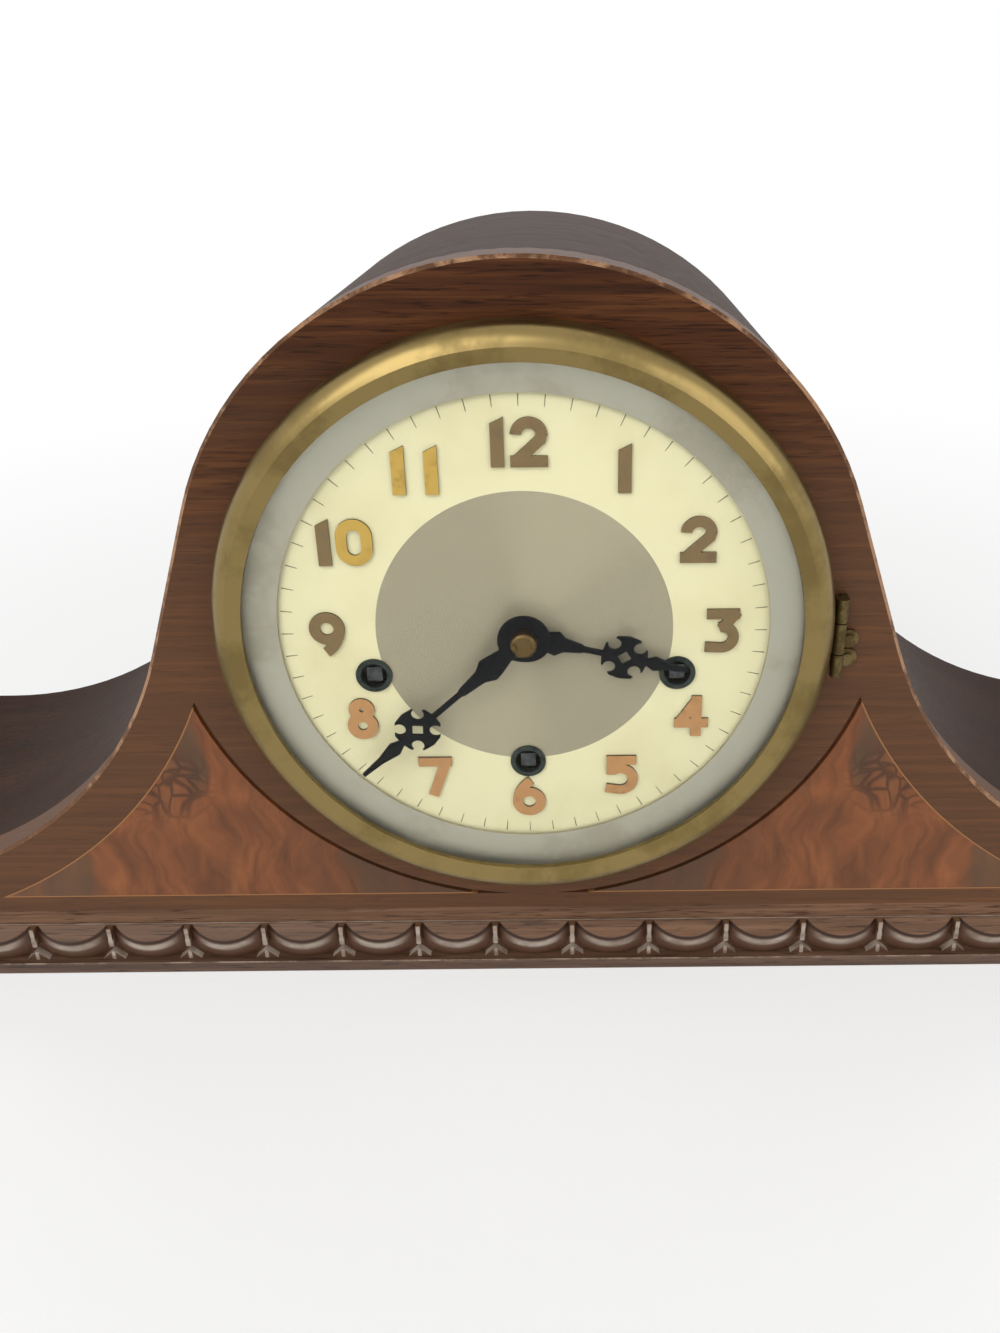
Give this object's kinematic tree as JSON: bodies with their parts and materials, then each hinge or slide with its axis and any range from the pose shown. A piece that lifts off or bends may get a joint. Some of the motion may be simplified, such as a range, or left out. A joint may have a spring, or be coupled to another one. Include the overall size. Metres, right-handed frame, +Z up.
{
  "type": "mantel clock",
  "caption": "Tambour mantel clock: hump-backed wooden case with burl panels, domed brass bezel door, cream dial with raised numerals, pierced hands, winding squares and a chiming movement.",
  "frame": {"origin": "middle of the base's flat underside, level with the surface that the clock stands on; Y is zero halfway through the case's depth", "axes": "+X to the right as the viewer sees the dial, +Y to the back, +Z up"},
  "size_m": [0.3794, 0.1185, 0.177],
  "materials": {
    "veneer": "satin mahogany-coloured veneer, horizontal grain",
    "top_wood": "dark stained bent top, satin",
    "burl": "burl veneer, satin",
    "base_wood": "brown stained hardwood, satin",
    "inner_wood": "plain unfinished wood",
    "bezel_brass": "aged brass, lightly polished",
    "brass": "machined brass",
    "glass": "clear domed glass",
    "silvered": "silvered, satin",
    "dial": "cream enamel with a grey centre",
    "gilt": "dull gilt",
    "black": "black lacquer",
    "grommet": "dark bronze",
    "steel": "machined steel",
    "iron": "painted cast iron"
  },
  "bodies": {
    "case": {"front_board": "veneer", "inlays": "burl", "arch_top": "top_wood", "corner_blocks": "inner_wood", "plinth_board": "base_wood", "base_board": "base_wood", "base_moulding": "base_wood", "back_board": "inner_wood", "door_case_leaves": "brass", "bezel_hinge_plate": "bezel_brass", "bezel_hinge_screws": "bezel_brass", "dial_plate": "dial", "dial_screws": "steel", "winding_bushings": "grommet", "numerals": "gilt", "front_plate": "brass", "back_plate": "brass", "pillars": "brass", "movement_screws": "steel", "hammer_bracket": "brass", "chime_rods": "steel", "rod_block": "iron"},
    "bezel": {"bezel_ring": "bezel_brass", "glass": "glass", "sight_ring": "silvered", "bezel_hinge_strap": "bezel_brass"},
    "door": {"back_door": "inner_wood", "door_knob": "inner_wood", "door_leaves": "brass"},
    "button": {"turn_button": "inner_wood"},
    "minute": {"minute_hand": "black", "cannon_pinion": "brass", "hand_nut": "brass"},
    "hour": {"hour_hand": "black", "hour_wheel": "brass"},
    "minute_work": {"minute_wheel": "brass"},
    "time_key_arbor": {"time_arbor": "steel"},
    "strike_key_arbor": {"strike_arbor": "steel"},
    "chime_key_arbor": {"chime_arbor": "steel"},
    "escape": {"escape_wheel": "brass"},
    "third": {"third_wheel": "brass"},
    "centre": {"centre_wheel": "brass"},
    "intermediate": {"intermediate_wheel": "brass"},
    "time_drive": {"time_barrel": "brass"},
    "pendulum": {"pendulum_rod": "steel", "pendulum_bob": "brass", "rating_nut": "brass"},
    "anchor": {"pallets": "steel"},
    "strike_fan": {"strike_fly": "brass"},
    "strike_second": {"strike_wheel": "brass"},
    "strike_drive": {"strike_barrel": "brass"},
    "chime_fan": {"chime_fly": "brass"},
    "chime_second": {"chime_wheel": "brass"},
    "chime_drive": {"chime_barrel": "brass"},
    "chime_pins": {"chime_drum": "brass"},
    "hammer_1": {"hammer_1": "brass"},
    "hammer_2": {"hammer_2": "brass"},
    "hammer_3": {"hammer_3": "brass"},
    "hammer_4": {"hammer_4": "brass"},
    "hammer_5": {"hammer_5": "brass"}
  },
  "joints": [
    {"name": "bezel_open", "type": "hinge", "parent": "case", "child": "bezel", "pos_m": [0.0699, -0.0508, 0.0946], "axis": [0, 0, 1], "range_deg": [0, 110]},
    {"name": "door_open", "type": "hinge", "parent": "case", "child": "door", "pos_m": [-0.0585, 0.0467, 0.067], "axis": [0, 0, 1], "range_deg": [0, 105]},
    {"name": "button_turn", "type": "hinge", "parent": "case", "child": "button", "pos_m": [0.0625, 0.042, 0.078], "axis": [0, 1, 0], "range_deg": [0, 90]},
    {"name": "minute_turn", "type": "hinge", "parent": "case", "child": "minute", "pos_m": [0, -0.0511, 0.097], "axis": [0, 1, 0], "continuous": true},
    {"name": "hour_turn", "type": "hinge", "parent": "case", "child": "hour", "pos_m": [0, -0.0511, 0.097], "axis": [0, 1, 0], "continuous": true},
    {"name": "minute_work_turn", "type": "hinge", "parent": "case", "child": "minute_work", "pos_m": [0.00849, -0.034, 0.10549], "axis": [0, 1, 0], "continuous": true},
    {"name": "time_wind", "type": "hinge", "parent": "case", "child": "time_key_arbor", "pos_m": [0, -0.034, 0.0634], "axis": [0, 1, 0], "range_deg": [0, 2520]},
    {"name": "strike_wind", "type": "hinge", "parent": "case", "child": "strike_key_arbor", "pos_m": [-0.034, -0.034, 0.0865], "axis": [0, 1, 0], "range_deg": [0, 2520]},
    {"name": "chime_wind", "type": "hinge", "parent": "case", "child": "chime_key_arbor", "pos_m": [0.034, -0.034, 0.0865], "axis": [0, 1, 0], "range_deg": [0, 2520]},
    {"name": "escape_turn", "type": "hinge", "parent": "case", "child": "escape", "pos_m": [0, -0.016, 0.1162], "axis": [0, 1, 0], "continuous": true},
    {"name": "third_turn", "type": "hinge", "parent": "case", "child": "third", "pos_m": [-0.01458, -0.016, 0.10874], "axis": [0, 1, 0], "continuous": true},
    {"name": "centre_turn", "type": "hinge", "parent": "case", "child": "centre", "pos_m": [0, -0.016, 0.097], "axis": [0, 1, 0], "continuous": true},
    {"name": "intermediate_turn", "type": "hinge", "parent": "case", "child": "intermediate", "pos_m": [0.01344, -0.016, 0.08329], "axis": [0, 1, 0], "continuous": true},
    {"name": "time_barrel_turn", "type": "hinge", "parent": "case", "child": "time_drive", "pos_m": [0, -0.016, 0.0634], "axis": [0, 1, 0], "continuous": true},
    {"name": "pendulum_swing", "type": "hinge", "parent": "case", "child": "pendulum", "pos_m": [0, 0.008, 0.1287], "axis": [0, 1, 0], "range_deg": [-3.5, 3.5]},
    {"name": "pallet_rock", "type": "hinge", "parent": "case", "child": "anchor", "pos_m": [0, -0.016, 0.1287], "axis": [0, 1, 0], "range_deg": [-3.5, 3.5]},
    {"name": "strike_fly_spin", "type": "hinge", "parent": "case", "child": "strike_fan", "pos_m": [-0.02865, -0.016, 0.12277], "axis": [0, 1, 0], "continuous": true},
    {"name": "strike_wheel_turn", "type": "hinge", "parent": "case", "child": "strike_second", "pos_m": [-0.03765, -0.016, 0.10718], "axis": [0, 1, 0], "continuous": true},
    {"name": "strike_barrel_turn", "type": "hinge", "parent": "case", "child": "strike_drive", "pos_m": [-0.034, -0.016, 0.0865], "axis": [0, 1, 0], "continuous": true},
    {"name": "chime_fly_spin", "type": "hinge", "parent": "case", "child": "chime_fan", "pos_m": [0.02865, -0.016, 0.12277], "axis": [0, 1, 0], "continuous": true},
    {"name": "chime_wheel_turn", "type": "hinge", "parent": "case", "child": "chime_second", "pos_m": [0.03765, -0.016, 0.10718], "axis": [0, 1, 0], "continuous": true},
    {"name": "chime_barrel_turn", "type": "hinge", "parent": "case", "child": "chime_drive", "pos_m": [0.034, -0.016, 0.0865], "axis": [0, 1, 0], "continuous": true},
    {"name": "chime_drum_turn", "type": "hinge", "parent": "case", "child": "chime_pins", "pos_m": [0.0438, -0.016, 0.09027], "axis": [0, 1, 0], "continuous": true},
    {"name": "hammer_1_lift", "type": "hinge", "parent": "case", "child": "hammer_1", "pos_m": [0.048, 0.009, 0.067], "axis": [0, -1, 0], "range_deg": [0, 12]},
    {"name": "hammer_2_lift", "type": "hinge", "parent": "case", "child": "hammer_2", "pos_m": [0.048, 0.014, 0.067], "axis": [0, -1, 0], "range_deg": [0, 12]},
    {"name": "hammer_3_lift", "type": "hinge", "parent": "case", "child": "hammer_3", "pos_m": [0.048, 0.019, 0.067], "axis": [0, -1, 0], "range_deg": [0, 12]},
    {"name": "hammer_4_lift", "type": "hinge", "parent": "case", "child": "hammer_4", "pos_m": [0.048, 0.024, 0.067], "axis": [0, -1, 0], "range_deg": [0, 12]},
    {"name": "hammer_5_lift", "type": "hinge", "parent": "case", "child": "hammer_5", "pos_m": [0.048, 0.029, 0.067], "axis": [0, -1, 0], "range_deg": [0, 12]}
  ],
  "couplings": [
    {"joint": "hour_turn", "follows": "minute_turn", "ratio": 0.083333},
    {"joint": "minute_work_turn", "follows": "minute_turn", "ratio": -0.33333},
    {"joint": "third_turn", "follows": "escape_turn", "ratio": -0.083333},
    {"joint": "centre_turn", "follows": "escape_turn", "ratio": 0.0069444},
    {"joint": "intermediate_turn", "follows": "escape_turn", "ratio": -0.001286},
    {"joint": "time_barrel_turn", "follows": "escape_turn", "ratio": 0.0002572},
    {"joint": "pallet_rock", "follows": "pendulum_swing", "ratio": 1},
    {"joint": "strike_wheel_turn", "follows": "strike_fly_spin", "ratio": -0.125},
    {"joint": "strike_barrel_turn", "follows": "strike_fly_spin", "ratio": 0.019231},
    {"joint": "chime_wheel_turn", "follows": "chime_fly_spin", "ratio": -0.125},
    {"joint": "chime_barrel_turn", "follows": "chime_fly_spin", "ratio": 0.019231},
    {"joint": "chime_drum_turn", "follows": "chime_fly_spin", "ratio": 0.125}
  ]
}
